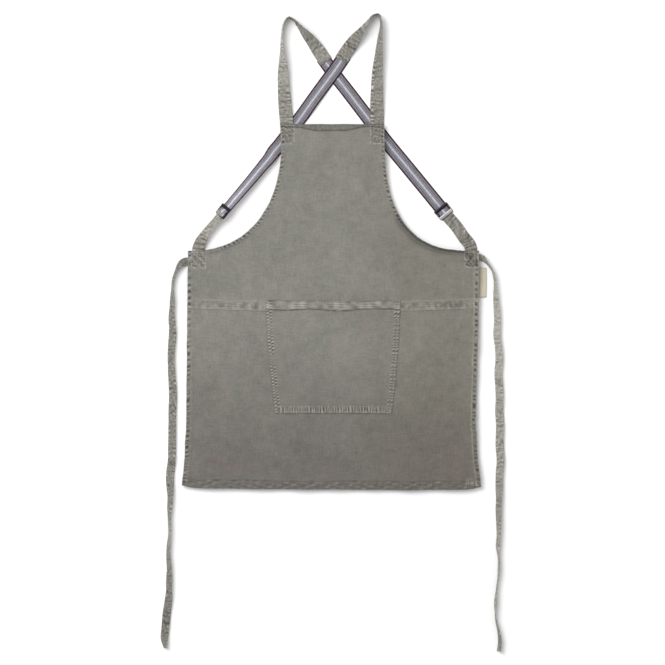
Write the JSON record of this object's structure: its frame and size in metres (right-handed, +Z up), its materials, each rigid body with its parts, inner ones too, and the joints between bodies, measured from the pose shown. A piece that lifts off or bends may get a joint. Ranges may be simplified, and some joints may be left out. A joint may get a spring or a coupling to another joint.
{
  "type": "bib apron",
  "caption": "Canvas bib apron with cross-back webbing straps, slide buckles, waist ties and a patch pocket, laid flat.",
  "frame": {"origin": "on the surface the apron lies on, under the middle of the laid-out apron's plan", "axes": "+Y from the foot to the neck, +X to the right seen from the front, +Z up out of the front"},
  "size_m": [0.8093, 1.5005, 0.0321],
  "materials": {
    "canvas": "matt, garment-washed",
    "strap_canvas": "matt, garment-washed",
    "webbing": "striped, slightly shiny",
    "buckle_metal": "polished",
    "label_tape": "matt"
  },
  "bodies": {
    "root": {"upper_panel": "canvas", "skirt_panel": "canvas", "pocket": "canvas", "shoulder_strap_left": "strap_canvas", "shoulder_strap_right": "strap_canvas", "webbing_left": "webbing", "webbing_right": "webbing", "hip_tab_left": "strap_canvas", "hip_tab_right": "strap_canvas", "waist_tie_left": "strap_canvas", "waist_tie_right": "strap_canvas", "buckle_left": "buckle_metal", "buckle_right": "buckle_metal", "side_label": "label_tape"}
  },
  "joints": []
}
